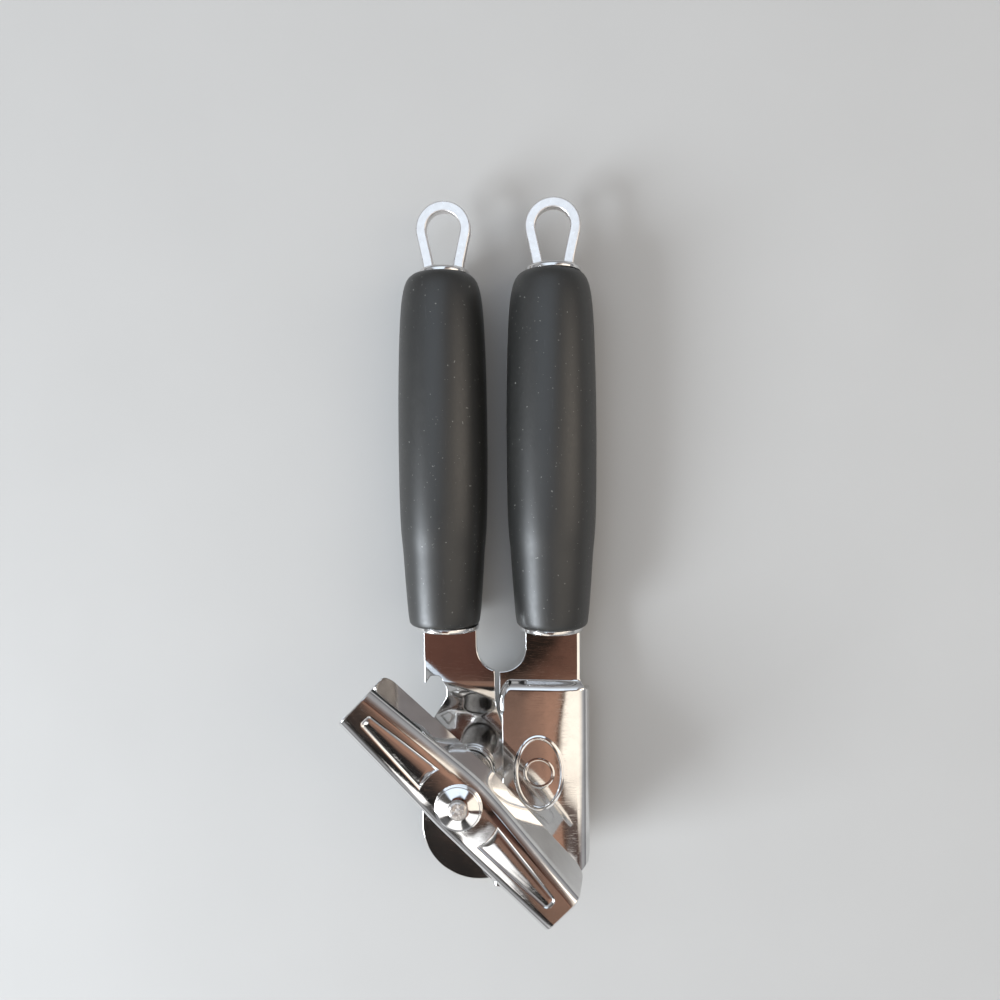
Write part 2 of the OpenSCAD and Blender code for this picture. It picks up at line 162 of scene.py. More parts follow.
def chrome(name, col=(0.78, 0.775, 0.77), dark=(0.66, 0.655, 0.65), rough=0.055, smear=0.10, wave=0.14, wave_mm=0.055, scratch=0.12, angle=25):
    m, nt, b, mp = new_mat(name)
    v = mp.outputs[0]
    cloud = tex_noise(nt, v, 0.11, 4.0, 0.6, 0.4)
    specks = remap(nt, tex_noise(nt, v, 1.9, 2.0, 0.5), 0.70, 0.76, 0.0, 1.0)
    fine = tex_noise(nt, stretched(nt, mp, angle, 0.25, 9.0), 1.0, 3.0, 0.6)
    lines = remap(nt, fine, 0.60, 0.72, 0.0, 1.0)
    cross = remap(nt, tex_noise(nt, stretched(nt, mp, angle + 68, 0.2, 7.0), 1.0, 2.0, 0.6), 0.64, 0.74, 0.0, 1.0)
    b.inputs["Metallic"].default_value = 1.0
    nt.links.new(mix_col(nt, remap(nt, cloud, 0.35, 0.75, 0.0, 1.0), col, dark), b.inputs["Base Color"])
    r = remap(nt, cloud, 0.3, 0.8, rough, rough + smear)
    r = op(nt, "ADD", r, op(nt, "MULTIPLY", specks, 0.10))
    r = op(nt, "ADD", r, op(nt, "MULTIPLY", lines, 0.05))
    nt.links.new(r, b.inputs["Roughness"])
    waves = tex_noise(nt, v, wave_mm, 2.0, 0.4, 0.3)
    n1 = bump(nt, b, waves, wave, 0.0009)
    scr = op(nt, "ADD", lines, cross)
    bump(nt, b, scr, scratch, 0.00003, n1)
    return m


def steel(name, col, dark, rough, grain=0.2, scale=3.0, stretch=None, metallic=1.0):
    m, nt, b, mp = new_mat(name)
    v = mp.outputs[0]
    cloud = tex_noise(nt, v, 0.4, 4.0, 0.6)
    g = tex_noise(nt, v if stretch is None else stretched(nt, mp, stretch, 0.4, 6.0), scale, 3.0, 0.65)
    b.inputs["Metallic"].default_value = metallic
    nt.links.new(mix_col(nt, remap(nt, cloud, 0.35, 0.7, 0.0, 1.0), col, dark), b.inputs["Base Color"])
    nt.links.new(op(nt, "ADD", remap(nt, g, 0.3, 0.7, rough, rough + 0.12), op(nt, "MULTIPLY", cloud, 0.06)), b.inputs["Roughness"])
    bump(nt, b, g, grain, 0.00004)
    return m


def rubber(name):
    m, nt, b, mp = new_mat(name)
    v = mp.outputs[0]
    cloud = tex_noise(nt, v, 0.05, 4.0, 0.6, 0.2)
    grain = tex_noise(nt, v, 5.5, 3.0, 0.7)
    mottle = tex_noise(nt, v, 0.9, 3.0, 0.6)
    dust = remap(nt, tex_noise(nt, v, 1.25, 1.0, 0.4), 0.745, 0.775, 0.0, 1.0)
    scuff = remap(nt, tex_noise(nt, stretched(nt, mp, 12, 1.2, 0.16), 1.0, 3.0, 0.6), 0.66, 0.80, 0.0, 1.0)
    base = mix_col(nt, remap(nt, cloud, 0.3, 0.75, 0.0, 1.0), (0.0150, 0.0153, 0.0146), (0.0205, 0.0204, 0.0190))
    base = mix_col(nt, op(nt, "MULTIPLY", dust, 0.6), base, (0.26, 0.26, 0.24))
    base = mix_col(nt, op(nt, "MULTIPLY", scuff, 0.22), base, (0.10, 0.10, 0.10))
    nt.links.new(base, b.inputs["Base Color"])
    b.inputs["Specular IOR Level"].default_value = 0.66
    r = remap(nt, mottle, 0.25, 0.75, 0.36, 0.44)
    r = op(nt, "SUBTRACT", r, op(nt, "MULTIPLY", scuff, 0.10))
    nt.links.new(r, b.inputs["Roughness"])
    n1 = bump(nt, b, mottle, 0.06, 0.00012)
    bump(nt, b, grain, 0.16, 0.00005, n1)
    return m


M_PLATE = chrome("chrome_plate", rough=0.035, smear=0.06, scratch=0.035)
M_PLATE_B = chrome("chrome_plate_rear", angle=-30, rough=0.035, smear=0.06, wave=0.03, scratch=0.035)
M_KEY = chrome("chrome_key", rough=0.04, smear=0.06, angle=-44, wave=0.11, scratch=0.03)
M_CAP = chrome("chrome_cap", rough=0.10, smear=0.10, wave=0.1, scratch=0.05)
M_BOSS = chrome("chrome_boss", rough=0.09, smear=0.10, wave=0.1)
M_LOOP = steel("satin_steel", (0.80, 0.775, 0.755), (0.73, 0.705, 0.69), 0.22, 0.035, 1.2)
M_RIVET = steel("rivet_steel", (0.66, 0.63, 0.60), (0.46, 0.43, 0.41), 0.22, 0.5, 2.4)
M_SHAFT = steel("shaft_steel", (0.62, 0.61, 0.60), (0.50, 0.49, 0.48), 0.20, 0.10, 2.0)
M_GEAR = steel("gear_steel", (0.58, 0.575, 0.56), (0.44, 0.435, 0.42), 0.30, 0.25, 2.2)
M_CUT = steel("cutter_steel", (0.70, 0.70, 0.70), (0.58, 0.58, 0.58), 0.14, 0.15, 2.0)
M_GRIP = rubber("soft_touch_black")


# ------------------------------------------------------------ mesh helpers
def add_mesh(name, verts, faces, mat, body, nodes=(), normals=None):
    me = bpy.data.meshes.new(name)
    me.from_pydata([tuple(v) for v in verts], [], faces)
    me.validate()
    bm = bmesh.new()
    bm.from_mesh(me)
    if normals:
        lay = bm.verts.layers.float_vector.new("exact")
        for v, n in zip(bm.verts, normals):
            v[lay] = n
    bmesh.ops.remove_doubles(bm, verts=bm.verts, dist=1e-7)
    bmesh.ops.recalc_face_normals(bm, faces=bm.faces)
    for f in bm.faces:
        f.smooth = True
    kept = [Vector(v[lay]) for v in bm.verts] if normals else []
    if normals:
        bm.verts.layers.float_vector.remove(lay)
    bm.to_mesh(me)
    bm.free()
    if normals:
        me.normals_split_custom_set_from_vertices(kept)
    me.materials.append(mat)
    ob = bpy.data.objects.new(name, me)
    bpy.context.scene.collection.objects.link(ob)
    if not normals:
        w = ob.modifiers.new("weighted", "WEIGHTED_NORMAL")
        w.weight = 60
        w.keep_sharp = True
    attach(ob, body)
    if nodes:
        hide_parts(*nodes)
    return ob


def lathe(name, prof, origin, axis, mat, body, nodes=(), segs=128, wobble=None):
    """Closed solid of revolution. prof is (radius, height) from axis to axis."""
    axis = Vector(axis).normalized()
    ref = Vector((0, 0, 1)) if abs(axis.z) < 0.9 else Vector((1, 0, 0))
    ex = axis.cross(ref).normalized()
    ey = axis.cross(ex).normalized()
    o = P(*origin)
    verts, faces, rings = [], [], []
    for r, h in prof:
        if r < 1e-6:
            rings.append([len(verts)])
            verts.append(o + axis * (h / 1000))
        else:
            ring = []
            for i in range(segs):
                a = 2 * math.pi * i / segs
                rr, hh = r, h
                if wobble:
                    rr, hh = wobble(r, h, a)
                ring.append(len(verts))
                verts.append(o + (ex * math.cos(a) + ey * math.sin(a)) * (rr / 1000) + axis * (hh / 1000))
            rings.append(ring)
    closed = prof[0] != prof[-1] and len(rings[0]) > 1 and len(rings[-1]) > 1
    pairs = list(zip(rings[:-1], rings[1:]))
    if closed:
        pairs.append((rings[-1], rings[0]))
    for a, b in pairs:
        if len(a) == 1 and len(b) == 1:
            continue
        for i in range(segs):
            j = (i + 1) % segs
            if len(a) == 1:
                faces.append((a[0], b[i], b[j]))
            elif len(b) == 1:
                faces.append((a[i], b[0], a[j]))
            else:
                faces.append((a[i], b[i], b[j], a[j]))
    return add_mesh(name, verts, faces, mat, body, nodes)


def round_profile(pts, r=0.2, n=4):
    """Fillets the inner corners of an open (radius, height) profile."""
    out = [pts[0]]
    for i in range(1, len(pts) - 1):
        a, b, c = Vector(pts[i - 1]), Vector(pts[i]), Vector(pts[i + 1])
        u, w = (a - b), (c - b)
        lu, lw = u.length, w.length
        if lu < 1e-6 or lw < 1e-6:
            out.append(tuple(b))
            continue
        u /= lu
        w /= lw
        cosang = max(-1, min(1, u.dot(w)))
        ang = math.acos(cosang)
        if ang > math.radians(172):
            out.append(tuple(b))
            continue
        d = min(r / math.tan(ang / 2), lu * 0.45, lw * 0.45)
        rr = d * math.tan(ang / 2)
        ctr = b + (u + w).normalized() * (rr / math.sin(ang / 2))
        p0, p1 = b + u * d, b + w * d
        a0 = math.atan2(p0.y - ctr.y, p0.x - ctr.x)
        a1 = math.atan2(p1.y - ctr.y, p1.x - ctr.x)
        da = (a1 - a0 + math.pi) % (2 * math.pi) - math.pi
        for k in range(n + 1):
            t = a0 + da * k / n
            out.append((ctr.x + rr * math.cos(t), ctr.y + rr * math.sin(t)))
    out.append(pts[-1])
    return out


def fillet_loop(pts, radii, n=6):
    """Closed 2D outline with each corner rounded by its own radius."""
    out = []
    N = len(pts)
    for i in range(N):
        a, b, c = Vector(pts[i - 1]), Vector(pts[i]), Vector(pts[(i + 1) % N])
        r = radii[i] if isinstance(radii, (list, tuple)) else radii
        u, w = a - b, c - b
        lu, lw = u.length, w.length
        u /= lu
        w /= lw
        ang = math.acos(max(-1, min(1, u.dot(w))))
        if r <= 0 or ang > math.radians(176):
            out.append((b.x, b.y))
            continue
        d = min(r / math.tan(ang / 2), lu * 0.48, lw * 0.48)
        rr = d * math.tan(ang / 2)
        ctr = b + (u + w).normalized() * (rr / math.sin(ang / 2))
        p0, p1 = b + u * d, b + w * d
        a0 = math.atan2(p0.y - ctr.y, p0.x - ctr.x)
        a1 = math.atan2(p1.y - ctr.y, p1.x - ctr.x)
        da = (a1 - a0 + math.pi) % (2 * math.pi) - math.pi
        for k in range(n + 1):
            t = a0 + da * k / n
            out.append((ctr.x + rr * math.cos(t), ctr.y + rr * math.sin(t)))
    return out


def resample(pts, step):
    out = []
    N = len(pts)
    for i in range(N):
        a, b = Vector(pts[i]), Vector(pts[(i + 1) % N])
        L = (b - a).length
        if L < 0.02:
            continue
        k = max(1, int(math.ceil(L / step)))
        for j in range(k):
            out.append(tuple(a + (b - a) * (j / k)))
    return out


def inside(p, loops):
    c = False
    for poly in loops:
        j = len(poly) - 1
        for i in range(len(poly)):
            xi, yi = poly[i]
            xj, yj = poly[j]
            if (yi > p[1]) != (yj > p[1]) and p[0] < (xj - xi) * (p[1] - yi) / (yj - yi) + xi:
                c = not c
            j = i
    return c


def offset_loop(pts, d, sign):
    """Moves a closed loop to its left by d (sign +1) or right (-1)."""
    out = []
    N = len(pts)
    for i in range(N):
        a, b, c = Vector(pts[i - 1]), Vector(pts[i]), Vector(pts[(i + 1) % N])
        t1, t2 = (b - a).normalized(), (c - b).normalized()
        n1, n2 = Vector((-t1.y, t1.x)), Vector((-t2.y, t2.x))
        n = n1 + n2
        if n.length < 1e-6:
            n = n1
        n.normalize()
        k = max(0.5, n.dot(n1))
        out.append(tuple(b + n * (sign * d / k)))
    return out


def area(pts):
    return sum(pts[i - 1][0] * pts[i][1] - pts[i][0] * pts[i - 1][1] for i in range(len(pts))) / 2


def sheet(name, outer, holes, t, mid, mat, body, nodes, grid=1.2, fine=None, rho=0.4, edge=0.7, band=None, wall=None):
    """Pressed sheet: outline in flat (s, y), mid(s, y) gives its mid-surface in mm.
    band is a strip of even columns that follows a bend, wall the same below a height for a step's side."""
    loops = []
    for k, lp in enumerate([outer] + list(holes)):
        lp = resample(lp, edge)
        if (area(lp) > 0) != (k == 0):
            lp = lp[::-1]
        loops.append(lp)
    angs = [0, 30, 60, 90]
    prof = [(rho * (1 - math.cos(math.radians(a))), t / 2 - rho + rho * math.sin(math.radians(a))) for a in angs]
    ring_sets = []
    for lp in loops:
        ring_sets.append([(offset_loop(lp, d, 1), n) for d, n in prof])
    inner = [rs[-1][0] for rs in ring_sets]
    # interior points
    xs = [p[0] for p in inner[0]]
    ys = [p[1] for p in inner[0]]
    pts = []

    if band:
        b0, b1, bs, by = band
        x = b0
        while x < b1:
            y = min(ys) + 0.3
            while y < max(ys):
                if inside((x, y), inner):
                    pts.append((x, y))
                y += by
            x += bs

    def in_wall(x, y, m):
        return bool(wall) and wall[0] - m < x < wall[1] + m and y < wall[4] + m

    if wall:
        for i in range(int(round((wall[1] - wall[0]) / wall[2])) + 1):
            x = wall[0] + i * wall[2]
            y = min(ys) + 0.3
            while y < wall[4]:
                if inside((x, y), inner):
                    pts.append((x, y))
                y += wall[3]

    def add_grid(g, x0, x1, y0, y1, reject=None):
        row = 0
        y = y0
        while y < y1:
            x = x0 + (g / 2 if row % 2 else 0)
            while x < x1:
                if not (reject and reject(x, y)) and not (band and x > band[0] - g * 0.6) and not in_wall(x, y, 0.25) and inside((x, y), inner):
                    pts.append((x, y))
                x += g
            y += g * 0.87
            row += 1

    if fine:
        fx0, fx1, fy0, fy1, fg = fine
        add_grid(fg, fx0, fx1, fy0, fy1)
        add_grid(grid, min(xs), max(xs), min(ys), max(ys), lambda x, y: fx0 - fg < x < fx1 + fg and fy0 - fg < y < fy1 + fg)
    else:
        add_grid(grid, min(xs), max(xs), min(ys), max(ys))
    # keep clear of the rim
    edge_pts = [p for lp in inner for p in lp]
    cell = {}
    for p in edge_pts:
        cell.setdefault((int(p[0] // 1), int(p[1] // 1)), []).append(p)

    def near(p, r):
        cx, cy = int(p[0] // 1), int(p[1] // 1)
        for i in (-1, 0, 1):
            for j in (-1, 0, 1):
                for q in cell.get((cx + i, cy + j), ()):
                    if (p[0] - q[0]) ** 2 + (p[1] - q[1]) ** 2 < r * r:
                        return True
        return False

    pts = [p for p in pts if not near(p, 0.25 if in_wall(p[0], p[1], 0.01) else 0.45)]
    vin, edges = [], []
    for lp in inner:
        s = len(vin)
        vin += [Vector(p) for p in lp]
        n = len(lp)
        edges += [(s + i, s + (i + 1) % n) for i in range(n)]
    nb = len(vin)
    vin += [Vector(p) for p in pts]
    vo, eo, fo, ov, oe, of_ = delaunay_2d_cdt(vin, edges, [], 0, 1e-6)
    tris = []
    for f in fo:
        c = sum((vo[i] for i in f), Vector((0, 0))) / len(f)
        if inside((c.x, c.y), inner):
            tris.append(tuple(f))
    orig = {}
    for i, src in enumerate(ov):
        for sidx in src:
            orig[sidx] = i

    eps = 0.02

    def place(s, y, n):
        m = mid(s, y)
        du = mid(s + eps, y) - mid(s - eps, y)
        dv = mid(s, y + eps) - mid(s, y - eps)
        nn = du.cross(dv).normalized()
        return P(*(m + nn * n)), nn

    verts, faces, normals = [], [], []
    front = [None] * len(vo)
    back = [None] * len(vo)
    for i, v in enumerate(vo):
        front[i] = len(verts)
        q, nn = place(v.x, v.y, t / 2)
        verts.append(q)
        normals.append(nn)
        back[i] = len(verts)
        q, nn = place(v.x, v.y, -t / 2)
        verts.append(q)
        normals.append(-nn)
    for f in tris:
        faces.append(tuple(front[i] for i in f))
        faces.append(tuple(back[i] for i in reversed(f)))
    s = 0
    for rs in ring_sets:
        n = len(rs[0][0])
        fr, bk = [], []
        for k, (lp, h) in enumerate(rs):
            if k == len(rs) - 1:
                fr.append([front[orig[s + i]] for i in range(n)])
                bk.append([back[orig[s + i]] for i in range(n)])
            else:
                turn = math.radians(angs[k])
                a, b = [], []
                for sgn, lst in ((1, a), (-1, b)):
                    for i, p in enumerate(lp):
                        q, nn = place(p[0], p[1], sgn * h)
                        c = rs[-1][0][i]
                        out = mid(p[0], p[1]) - mid(c[0], c[1])
                        out = (out - nn * out.dot(nn)).normalized()
                        lst.append(len(verts))
                        verts.append(q)
                        normals.append((nn * (sgn * math.sin(turn)) + out * math.cos(turn)).normalized())
                fr.append(a)
                bk.append(b)
        for k in range(len(rs) - 1):
            for i in range(n):
                j = (i + 1) % n
                faces.append((fr[k][i], fr[k][j], fr[k + 1][j], fr[k + 1][i]))
                faces.append((bk[k][j], bk[k][i], bk[k + 1][i], bk[k + 1][j]))
        for i in range(n):
            j = (i + 1) % n
            faces.append((bk[0][i], bk[0][j], fr[0][j], fr[0][i]))
        s += n
    return add_mesh(name, verts, faces, mat, body, nodes, normals)


def arc(cx, cy, r, a0, a1, n):
    return [(cx + r * math.cos(math.radians(a0 + (a1 - a0) * i / n)), cy + r * math.sin(math.radians(a0 + (a1 - a0) * i / n))) for i in range(n + 1)]


Y0 = -46.8           # neck end of the grips
Y_NECK = Y0 - 0.9    # where the tangs step out to the neck width


# ------------------------------------------------------------- feed plate
def mid_feed(s, y):
    z = -0.8 - 1.6 * cosblend((-64.2 - y) / 11.4)
    return Vector((s, y, z))


feed_out = ([(-21.7, 44.4), (-9.7, 44.4), (-9.7, Y_NECK), (-7.5, Y_NECK), (-7.45, -53.5)]
            + arc(-0.3, -54, 7.1, 182, 255, 16)
            + [(-1.9, -62.2), (-1.9, -70.5), (-1.4, -73.5), (-0.4, -76.5), (1.2, -80), (2.6, -85), (3.2, -90), (3.8, -94.5), (4.7, -98)]
            + arc(-8.2, -109.8, 17.0, 34, -180, 70)
            + [(-25.2, -83.2), (-24.9, -82.4), (-17.75, -70.4), (-17.15, -69.2), (-17.05, -68), (-17.1, -66.6), (-17.5, -65.4), (-18.6, -63.6), (-19.1, -63.1),
               (-19.7, -62.95), (-21.2, -62.95), (-21.8, -63.1), (-22.2, -63.5), (-23.2, -65.0), (-23.5, -65.2), (-23.75, -64.9), (-23.9, Y_NECK), (-21.7, Y_NECK)])
shaft_hole = arc(SHAFT[0], SHAFT[1], 5.56, 0, 360, 48)[:-1]
pivot_hole_f = arc(PIVOT[0], PIVOT[1], 3.05, 0, 360, 32)[:-1]
sheet("feed_plate_sheet", feed_out, [shaft_hole, pivot_hole_f], 1.6, mid_feed, M_PLATE_B, "feed_arm", ["feed_plate"],
      fine=(-25.5, 3.5, -77.5, -62.5, 0.35), rho=0.35)


# ----------------------------------------------------------- cutter plate
X0 = 22.6            # where the rolled edge starts
R_OUT = 4.4
R_MID = R_OUT - 0.8
CROWN = 0.46
DIP = 2 * CROWN / 9.6       # slope of the crowned panel where the roll begins
ARC = R_MID * (math.pi / 2 - DIP)


def emboss(x, y):
    dx, dy = x - CUTTER[0], y - CUTTER[1]
    a, b = 6.95, 10.85
    r = math.hypot(dx / a, dy / b)
    if r < 1e-6:
        return 0.0
    # distance to the oval along the ray
    L = math.hypot(dx, dy)
    d = L - L / r
    h = 0.17 * math.exp(-(d / 0.36) ** 2)
    d2 = L - 4.2
    h += 0.055 * math.exp(-(d2 / 0.26) ** 2)
    return h


def rise(s, y):
    """0 on the neck's level, 1 on the raised panel; rounded where the side wall meets the top wall"""
    xb = 0.95 - 2.6 * smooth01((-72.3 - y) / 3.6)
    a, b = (s - xb) / 1.35, (-66.2 - y) / 2.7
    rc = 1.5
    e = rc - math.hypot(rc - a, rc - b) if a < rc and b < rc else min(a, b)
    return cosblend(e + 1.0)


def mid_cutter(s, y):
    up = 2.4 * rise(s, y)
    if s <= 13.0:
        return Vector((s, y, -0.8 + up + emboss(s, y)))
    crown = CROWN * up / 2.4
    if s <= X0:
        return Vector((s, y, -0.8 + up + emboss(s, y) - crown * ((s - 13.0) / 9.6) ** 2))
    a0 = DIP * up / 2.4
    up -= crown
    a = a0 + (s - X0) / R_MID
    x = X0 + R_MID * (math.sin(min(a, math.pi / 2)) - math.sin(a0))
    z = R_MID * (math.cos(min(a, math.pi / 2)) - math.cos(a0)) - max(0.0, a - math.pi / 2) * R_MID
    return Vector((x, y, -0.8 + up + z))


FL = 7.6 - R_OUT     # straight part of the flange
S_END = X0 + ARC + FL
c1 = (26.8 - 7.4, -115.3)
c2 = (0.2, -119.4)
slope = math.degrees(math.atan2(c1[1] - c2[1], c1[0] - c2[0])) - 90
cut_out = ([(9.5, 44), (21.5, 44), (21.5, Y_NECK), (23.7, Y_NECK), (23.7, -63.0), (24.0, -64.2), (24.9, -65.6), (26.4, -66.2), (S_END - 1.0, -66.2), (S_END, -67.2)]
           + [(S_END, -111.4), (S_END - 0.5, -113.4), (S_END - 2.0, -115.2), (S_END - 4.2, -117.3), (26.4, -119.2)]
           + [p for p in arc(c1[0], c1[1], 7.4, -38, slope, 12)] + arc(c2[0], c2[1], 7.49, slope, -180, 28)
           + [(-7.3, -108.5), (-7.0, -106.3), (-6.1, -104.3), (-1.1, -98.8), (-0.1, -97.2), (0.3, -95), (0.3, -75.4), (0.2, -74.2), (-0.2, -73.7), (-0.7, -73.1), (-0.7, -61.6)]
           + [(-0.3 + 1.07 * (q[0] + 0.3), q[1]) for q in arc(-0.3, -54, 7.1, 268, 360, 18)] + [(7.3, Y_NECK), (9.5, Y_NECK)])
pivot_hole_c = arc(PIVOT[0], PIVOT[1], 3.0, 0, 360, 32)[:-1]
sheet("cutter_plate_sheet", cut_out, [pivot_hole_c], 1.6, mid_cutter, M_PLATE, "cutter_arm", ["cutter_plate"],
      grid=0.9, fine=(-1.5, 21.2, -103.5, -62.0, 0.27), rho=0.35, band=(X0 - 0.7, S_END, 0.35, 0.5), wall=(-3.3, -1.35, 0.15, 0.45, -98.0))

# -------------------------------------------------------------- the key
KT = 1.4


def build_key():
    half, we, wm, zt, rise, low = 39.6, 7.0, 9.3, 24.9, 3.2, 14.3
    rho = 0.35
    phi = math.radians(9)
    bend_a = math.pi / 2 - phi

    def width(u):
        a = 3.0
        return wm + 0.15 - (wm + 0.15 - we) * (math.sqrt(u * u + a * a) - a) / (math.sqrt(half * half + a * a) - a)

    def ztop(u):
        a = 5.0
        return zt + rise * (math.sqrt(u * u + a * a) - a) / (math.sqrt(half * half + a * a) - a)

    def radius(u):
        return 3.0 + 0.7 * abs(u) / half

    def recess_w(u):
        au = min(35.2, max(9.0, abs(u)))
        return 3.95 - (au - 9.0) * (2.3 / 26.2)

    def roll(u):
        """start angle of the bend: the face already falls away a little before it"""
        return 0.045 * max(0.0, width(u) - radius(u) - 3.4)

    def fall(v):
        return -0.0225 * max(0.0, abs(v) - 3.4) ** 2

    def relief(u, v):
        au, av = abs(u), abs(v)
        rr = math.hypot(u, v)
        a, b, rc = recess_w(u) - av, 35.2 - au, 0.9
        e = rc - math.hypot(rc - a, rc - b) if a < rc and b < rc else min(a, b)
        e = min(e, rr - 12.0)
        h = -0.42 * smooth01((e + 0.28) / 0.56)
        if e > 0:
            h += 0.10 * math.cos(math.pi / 2 * min(1.0, av / recess_w(u))) * smooth01(e / 1.5)
        # soft shoulder and flat seat round the hub
        t = 0.78 * smooth01((rr - 5.5) / 1.1) + 0.22 * smooth01((rr - 6.3) / 4.5)
        seat = 25.5 - ztop(u)
        return h + seat * (1 - t)

    # rows: dense at the cut ends, at the ends of the recesses and round the hub
    us = [-half, -half + rho * 0.06, -half + rho * 0.3, -half + rho]
    x = -half + rho
    while x < half - rho - 0.12:
        ax = abs(x)
        st = 0.22 if (6.0 < ax < 12.8 or 34.4 < ax < 35.8) else (0.34 if ax < 6.0 else 0.40)
        x += st
        if x < half - rho - 0.12:
            us.append(x)
    us += [half - rho, half - rho * 0.3, half - rho * 0.06, half]
    us = sorted(set([round(abs(q), 5) for q in us]))
    us = [-q for q in reversed(us) if q > 0.11] + [0.0] + [q for q in us if q > 0.11]
    NB, NL = 13, 5

    def flange_len(u):
        r = radius(u)
        rm = r - KT / 2
        a0 = roll(u)
        L = (ztop(u) - KT / 2 + fall(width(u) - r) + rm * (math.cos(bend_a) - math.cos(a0)) - low) / math.cos(phi)
        c = 4.0
        q = abs(u) - (half - c)
        if q > 0:
            L -= c - math.sqrt(max(0.0, c * c - q * q))
        return L

    flat_v = [0.0, 0.35, 0.7]
    cols = []
    for k in (0, rho * 0.06, rho * 0.3, rho):
        cols.append(("L", -1, k))
    for i in range(1, NL):
        cols.append(("l", -1, 1 - i / NL))
    for i in range(NB):
        cols.append(("b", -1, 1 - i / NB))
    half_cols = [("o", 1 - i / 8) for i in range(9)] + [("w", 0.3 - 0.1 * i) for i in range(1, 7)] + [("c", 1 - i / 7) for i in range(1, 8)]
    for kind, val in half_cols:
        cols.append((kind, -1, val))
    for kind, val in list(reversed(half_cols))[1:]:
        cols.append((kind, 1, val))
    for i in range(NB):
        cols.append(("b", 1, (i + 1) / NB))
    for i in range(1, NL):
        cols.append(("l", 1, i / NL))
    for k in (rho, rho * 0.3, rho * 0.06, 0):
        cols.append(("L", 1, k))

    def point(u, col):
        """mid-surface point in key coordinates and distance to the free edge"""
        kind, sgn, val = col
        r = radius(u)
        rm = r - KT / 2
        w = width(u) - r
        z0 = ztop(u)
        d = 9.0
        if kind in ("o", "w", "c"):
            e = recess_w(u)
            if kind == "o":
                v = e + 0.3 + (w - e - 0.3) * val
            elif kind == "w":
                v = e + val
            else:
                v = (e - 0.3) * val
            v *= sgn
            return Vector((u, v, z0 - KT / 2 + relief(u, v) + fall(v))), d
        a0 = roll(u)
        zb = z0 - KT / 2 + fall(w)
        if kind == "b":
            a = a0 + (bend_a - a0) * val
            q = w + rm * (math.sin(a) - math.sin(a0))
            return Vector((u, sgn * q, zb + rm * (math.cos(a) - math.cos(a0)) + relief(u, q) * math.cos(a))), d
        bx, bz = w + rm * (math.sin(bend_a) - math.sin(a0)), zb + rm * (math.cos(bend_a) - math.cos(a0))
        L = flange_len(u)
        if kind == "l":
            q = val * (L - rho)
        else:
            q = L - val
            d = val
        return Vector((u, sgn * (bx + q * math.sin(phi)), bz - q * math.cos(phi))), d

    grid_p = [[point(u, c) for c in cols] for u in us]
    nu, nc = len(us), len(cols)
    ang = math.radians(-44.3)
    ca, sa = math.cos(ang), math.sin(ang)

    def world(v):
        return P(SHAFT[0] + v.x * ca - v.y * sa, SHAFT[1] + v.x * sa + v.y * ca, v.z)

    verts, faces, normals = [], [], []

    def turned(v):
        return Vector((v.x * ca - v.y * sa, v.x * sa + v.y * ca, v.z))

    top = [[0] * nc for _ in range(nu)]
    bot = [[0] * nc for _ in range(nu)]
    for i in range(nu):
        for j in range(nc):
            p, d = grid_p[i][j]
            a = grid_p[max(0, i - 1)][j][0]
            b = grid_p[min(nu - 1, i + 1)][j][0]
            c = grid_p[i][max(0, j - 1)][0]
            e2 = grid_p[i][min(nc - 1, j + 1)][0]
            nn = (b - a).cross(e2 - c).normalized()
            du = half - abs(us[i])
            dd = min(d, du)
            h = KT / 2
            lean = 0.0
            out = Vector((0, 0, 0))
            if dd < rho:
                h = KT / 2 - rho + math.sqrt(max(0.0, rho * rho - (rho - dd) ** 2))
                lean = (rho - dd) / rho
                out = (b - a) * (1 if us[i] > 0 else -1) if du < d else (e2 - c) * (1 if j > nc / 2 else -1)
                out = (out - nn * out.dot(nn)).normalized()
            keep = math.sqrt(max(0.0, 1 - lean * lean))
            top[i][j] = len(verts)
            verts.append(world(p + nn * h))
            normals.append(turned(nn * keep + out * lean).normalized())
            bot[i][j] = len(verts)
            verts.append(world(p - nn * h))
            normals.append(turned(out * lean - nn * keep).normalized())
    for i in range(nu - 1):
        for j in range(nc - 1):
            faces.append((top[i][j], top[i + 1][j], top[i + 1][j + 1], top[i][j + 1]))
            faces.append((bot[i][j], bot[i][j + 1], bot[i + 1][j + 1], bot[i + 1][j]))
    for i in range(nu - 1):
        faces.append((top[i][0], bot[i][0], bot[i + 1][0], top[i + 1][0]))
        faces.append((top[i][nc - 1], top[i + 1][nc - 1], bot[i + 1][nc - 1], bot[i][nc - 1]))
    for j in range(nc - 1):
        faces.append((top[0][j], top[0][j + 1], bot[0][j + 1], bot[0][j]))
        faces.append((top[nu - 1][j], bot[nu - 1][j], bot[nu - 1][j + 1], top[nu - 1][j + 1]))
    return add_mesh("key_pressing", verts, faces, M_KEY, "drive", ["crank_key"], normals)


build_key()

# domed washer and staked head on the key
dome = [(2.25, 0.0)] + round_profile([(5.7, 0.0), (6.0, 0.10), (6.0, 0.30), (5.8, 0.42), (5.2, 0.555), (4.4, 0.735), (3.6, 0.91), (3.0, 1.02), (2.6, 1.05), (2.25, 1.03)], 0.3)
lathe("key_dome_washer", dome, (SHAFT[0], SHAFT[1], 25.5), (0, 0, 1), M_KEY, "drive", ["crank_washer"])


